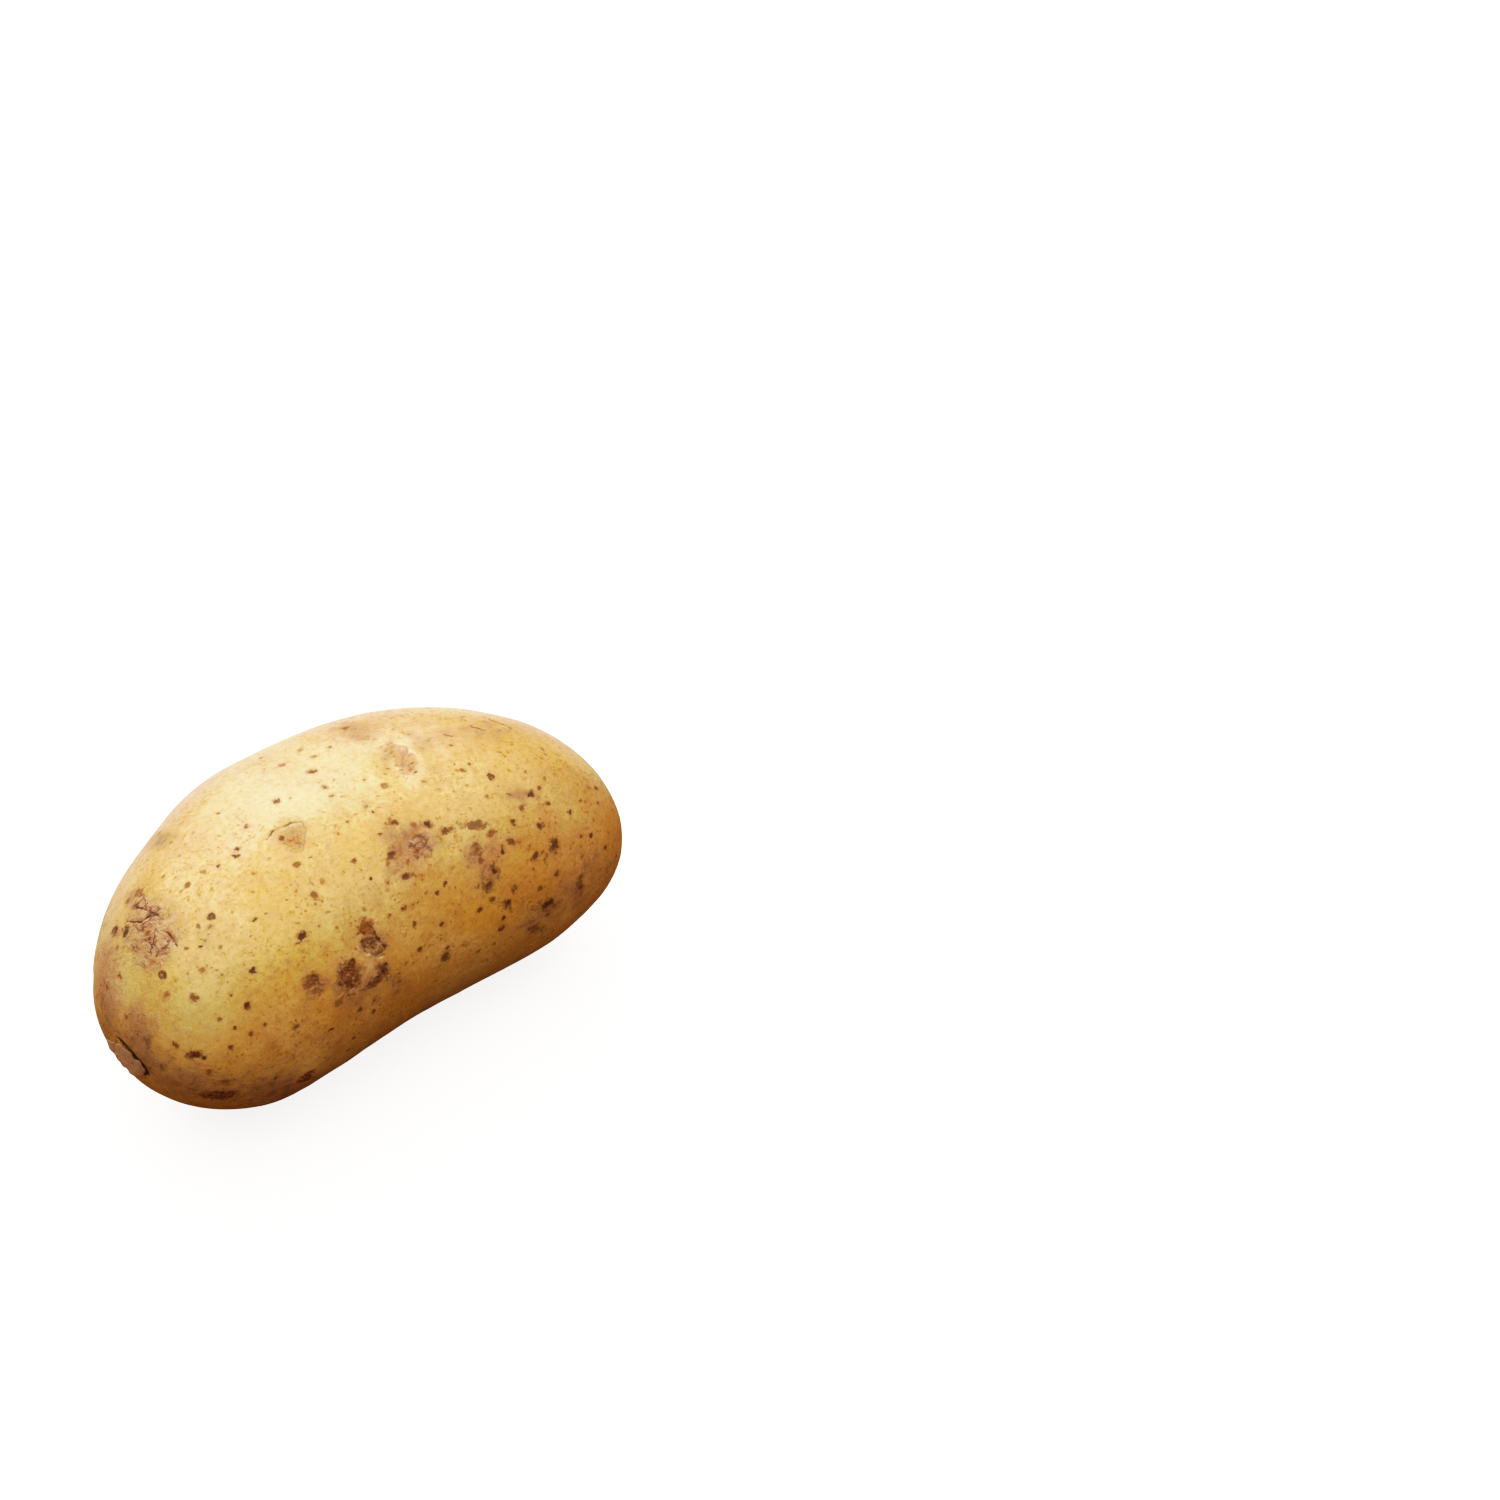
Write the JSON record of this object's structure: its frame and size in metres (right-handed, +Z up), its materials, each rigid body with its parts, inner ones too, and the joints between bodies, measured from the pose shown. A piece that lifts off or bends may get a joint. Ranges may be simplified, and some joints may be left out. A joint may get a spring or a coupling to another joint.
{
  "type": "potato",
  "caption": "Whole unpeeled potato: a smooth long-oval tuber, slightly bent, with shallow eyes, scabs and a stem scar, lying on a small flat spot.",
  "frame": {"origin": "on the resting surface, under the middle of the tuber's bounding box", "axes": "+X along the tuber towards the narrow stem end, +Z up from the resting surface, +Y away from the straighter side, towards the side that bows out"},
  "size_m": [0.1006, 0.057, 0.0496],
  "materials": {
    "skin": "satin"
  },
  "bodies": {
    "root": {"potato": "skin"}
  },
  "joints": []
}
